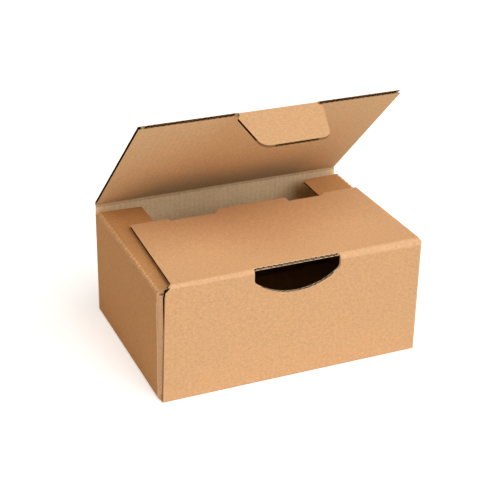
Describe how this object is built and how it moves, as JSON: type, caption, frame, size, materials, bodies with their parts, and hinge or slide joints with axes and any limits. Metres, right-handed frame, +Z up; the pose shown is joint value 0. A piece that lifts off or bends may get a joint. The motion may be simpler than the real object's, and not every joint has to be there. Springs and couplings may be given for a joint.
{
  "type": "corrugated mailer box",
  "caption": "Small folded mailer box of brown corrugated board with side dust flaps, a lying-back front flap over a half-moon finger hole, a back-hinged lid and a tuck tab.",
  "frame": {"origin": "centre of the base, on the surface the box stands on", "axes": "+Z up, +X to the right along the width, the front panel with the finger hole faces -Y"},
  "size_m": [0.16, 0.115, 0.1528],
  "materials": {
    "kraft_board": "matte kraft liner"
  },
  "bodies": {
    "box": {"box_body": "kraft_board"},
    "lid": {"lid": "kraft_board"},
    "tuck_tab": {"tuck_tab": "kraft_board"}
  },
  "joints": [
    {"name": "lid_crease", "type": "hinge", "parent": "box", "child": "lid", "pos_m": [0, 0.0566, 0.0726], "axis": [-1, 0, 0], "range_deg": [-43.18, 136]},
    {"name": "tuck_tab_crease", "type": "hinge", "parent": "lid", "child": "tuck_tab", "pos_m": [0.0015, -0.02512, 0.15151], "axis": [1, 0, 0], "range_deg": [-65, 45]}
  ]
}
